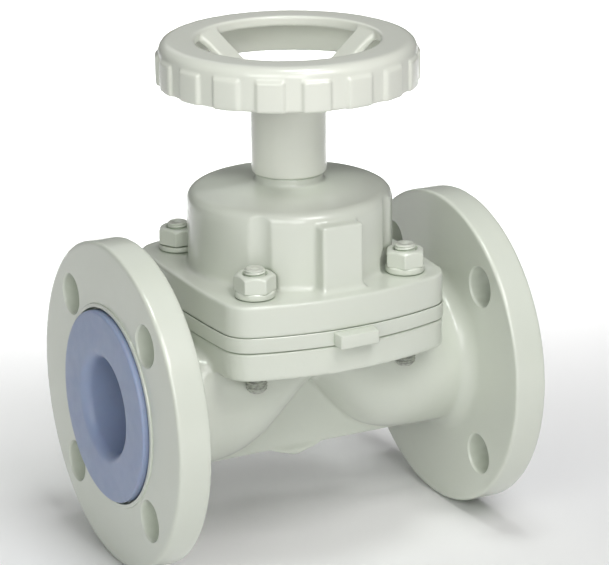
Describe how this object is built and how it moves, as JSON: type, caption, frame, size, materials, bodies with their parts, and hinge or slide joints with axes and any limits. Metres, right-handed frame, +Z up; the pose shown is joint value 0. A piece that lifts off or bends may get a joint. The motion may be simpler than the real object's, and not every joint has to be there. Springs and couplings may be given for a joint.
{
  "type": "diaphragm valve",
  "caption": "Flanged weir-type diaphragm valve with a lined cast body and a rising handwheel that presses a diaphragm onto the weir.",
  "frame": {"origin": "where the spindle's axis crosses the bore's axis, midway between the pipe flanges", "axes": "+X along the pipe, +Z up the spindle towards the handwheel, -Y towards the diaphragm's tab; closed at rest"},
  "size_m": [0.197, 0.155, 0.2418],
  "materials": {
    "paint": "gloss enamel on iron castings",
    "lining": "smooth moulded fluoroplastic",
    "ptfe": "smooth",
    "painted_rubber": "rubber, painted over at its edge",
    "rubber": "matt black",
    "steel": "turned",
    "bronze": "turned"
  },
  "bodies": {
    "valve_base": {"body": "paint", "body_liner": "lining", "diaphragm_facing": "ptfe", "diaphragm_cushion": "painted_rubber", "bonnet": "paint", "spindle_bush": "bronze", "bush_retaining_ring": "steel", "spindle_o_ring": "rubber", "neck_o_ring": "rubber", "bonnet_stud_front_left": "paint", "bonnet_washer_front_left": "paint", "bonnet_nut_front_left": "paint", "bonnet_stud_front_right": "paint", "bonnet_washer_front_right": "paint", "bonnet_nut_front_right": "paint", "bonnet_stud_rear_left": "paint", "bonnet_washer_rear_left": "paint", "bonnet_nut_rear_left": "paint", "bonnet_stud_rear_right": "paint", "bonnet_washer_rear_right": "paint", "bonnet_nut_rear_right": "paint"},
    "lifting_group": {"compressor": "paint", "compressor_pin_front": "steel", "compressor_pin_rear": "steel", "thrust_washer": "bronze", "diaphragm_insert_stud": "steel"},
    "turning_group": {"spindle": "steel", "handwheel": "paint", "handwheel_key": "steel", "hub_washer": "steel", "hub_nut": "paint"}
  },
  "joints": [
    {"name": "stem_lift", "type": "slide", "parent": "valve_base", "child": "lifting_group", "axis": [0, 0, 1], "range_m": [0, 0.02], "deforming": ["diaphragm_facing", "diaphragm_cushion"]},
    {"name": "handwheel_turn", "type": "hinge", "parent": "lifting_group", "child": "turning_group", "pos_m": [0, 0, 0], "axis": [0, 0, 1], "range_deg": [0, 1800]}
  ],
  "couplings": [
    {"joint": "stem_lift", "follows": "handwheel_turn", "m_per_rad": 0.0006366}
  ]
}
